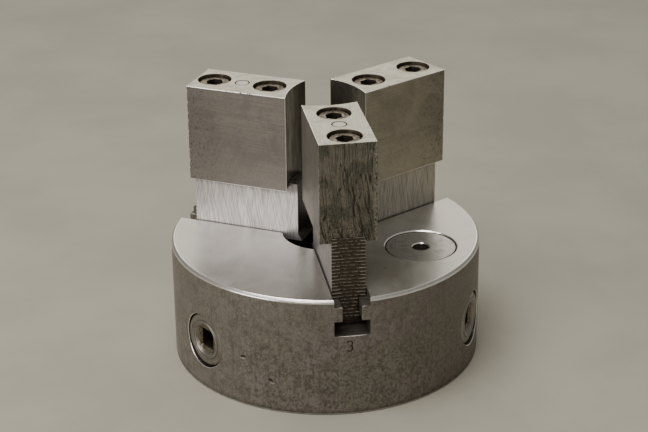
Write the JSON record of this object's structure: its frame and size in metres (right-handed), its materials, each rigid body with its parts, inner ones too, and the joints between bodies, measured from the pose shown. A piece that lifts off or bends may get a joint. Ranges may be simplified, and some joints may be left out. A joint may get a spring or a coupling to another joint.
{
  "type": "three-jaw scroll chuck",
  "caption": "Round self-centring scroll chuck on its back, with square-key pinions in its rim and bolted-on block top jaws with hollow grip faces.",
  "frame": {"origin": "on the chuck's axis, in the plane of its back face, which it lies on", "axes": "+Z along the chuck's axis from the back face towards the jaws; jaw 3 points along -Y, jaw 1 at 30 degrees and jaw 2 at 150 degrees counter-clockwise from +X"},
  "size_m": [0.16, 0.16, 0.1397],
  "materials": {
    "body_steel": "machined, dark brown-grey patina on the rim, smooth satin face",
    "ground_steel": "bright ground steel with fine crossing scratches",
    "block_steel": "machined steel, brushed mid grey",
    "pinion_steel": "turned steel, worn satin",
    "screw_steel": "black oxide, oily and worn",
    "scroll_steel": "turned steel, oiled"
  },
  "bodies": {
    "chuck_body": {"body": "body_steel", "rear_cover": "pinion_steel", "face_plug": "ground_steel", "cover_screw_1": "screw_steel", "cover_screw_2": "screw_steel", "cover_screw_3": "screw_steel", "cover_screw_4": "screw_steel", "cover_screw_5": "screw_steel", "cover_screw_6": "screw_steel", "pinion_screw_1": "screw_steel", "pinion_screw_2": "screw_steel", "pinion_screw_3": "screw_steel"},
    "scroll": {"scroll_plate": "scroll_steel"},
    "pinion_1_turning": {"pinion_1": "pinion_steel"},
    "pinion_2_turning": {"pinion_2": "pinion_steel"},
    "pinion_3_turning": {"pinion_3": "pinion_steel"},
    "jaw_1": {"base_jaw_1": "ground_steel", "top_jaw_1": "block_steel", "jaw_screw_1_inner": "screw_steel", "jaw_screw_1_outer": "screw_steel", "jaw_dowel_1": "ground_steel"},
    "jaw_2": {"base_jaw_2": "ground_steel", "top_jaw_2": "block_steel", "jaw_screw_2_inner": "screw_steel", "jaw_screw_2_outer": "screw_steel", "jaw_dowel_2": "ground_steel"},
    "jaw_3": {"base_jaw_3": "ground_steel", "top_jaw_3": "block_steel", "jaw_screw_3_inner": "screw_steel", "jaw_screw_3_outer": "screw_steel", "jaw_dowel_3": "ground_steel"}
  },
  "joints": [
    {"name": "scroll_spin", "type": "hinge", "parent": "chuck_body", "child": "scroll", "pos_m": [0, 0, 0.0436], "axis": [0, 0, 1], "range_deg": [-1440, 240]},
    {"name": "pinion_1_spin", "type": "hinge", "parent": "chuck_body", "child": "pinion_1_turning", "pos_m": [0, 0, 0.0264], "axis": [0, 1, 0], "range_deg": [-1210, 7210]},
    {"name": "pinion_2_spin", "type": "hinge", "parent": "chuck_body", "child": "pinion_2_turning", "pos_m": [0, 0, 0.0264], "axis": [-0.866, -0.5, 0], "range_deg": [-1210, 7210]},
    {"name": "pinion_3_spin", "type": "hinge", "parent": "chuck_body", "child": "pinion_3_turning", "pos_m": [0, 0, 0.0264], "axis": [0.866, -0.5, 0], "range_deg": [-1210, 7210]},
    {"name": "jaw_1_slide", "type": "slide", "parent": "chuck_body", "child": "jaw_1", "axis": [0.866, 0.5, 0], "range_m": [-0.00401, 0.02401]},
    {"name": "jaw_2_slide", "type": "slide", "parent": "chuck_body", "child": "jaw_2", "axis": [-0.866, 0.5, 0], "range_m": [-0.00401, 0.02401]},
    {"name": "jaw_3_slide", "type": "slide", "parent": "chuck_body", "child": "jaw_3", "axis": [0, -1, 0], "range_m": [-0.00401, 0.02401]}
  ],
  "couplings": [
    {"joint": "pinion_1_spin", "follows": "scroll_spin", "ratio": -5},
    {"joint": "pinion_2_spin", "follows": "scroll_spin", "ratio": -5},
    {"joint": "pinion_3_spin", "follows": "scroll_spin", "ratio": -5},
    {"joint": "jaw_1_slide", "follows": "scroll_spin", "m_per_rad": -0.00095493},
    {"joint": "jaw_2_slide", "follows": "scroll_spin", "m_per_rad": -0.00095493},
    {"joint": "jaw_3_slide", "follows": "scroll_spin", "m_per_rad": -0.00095493}
  ]
}
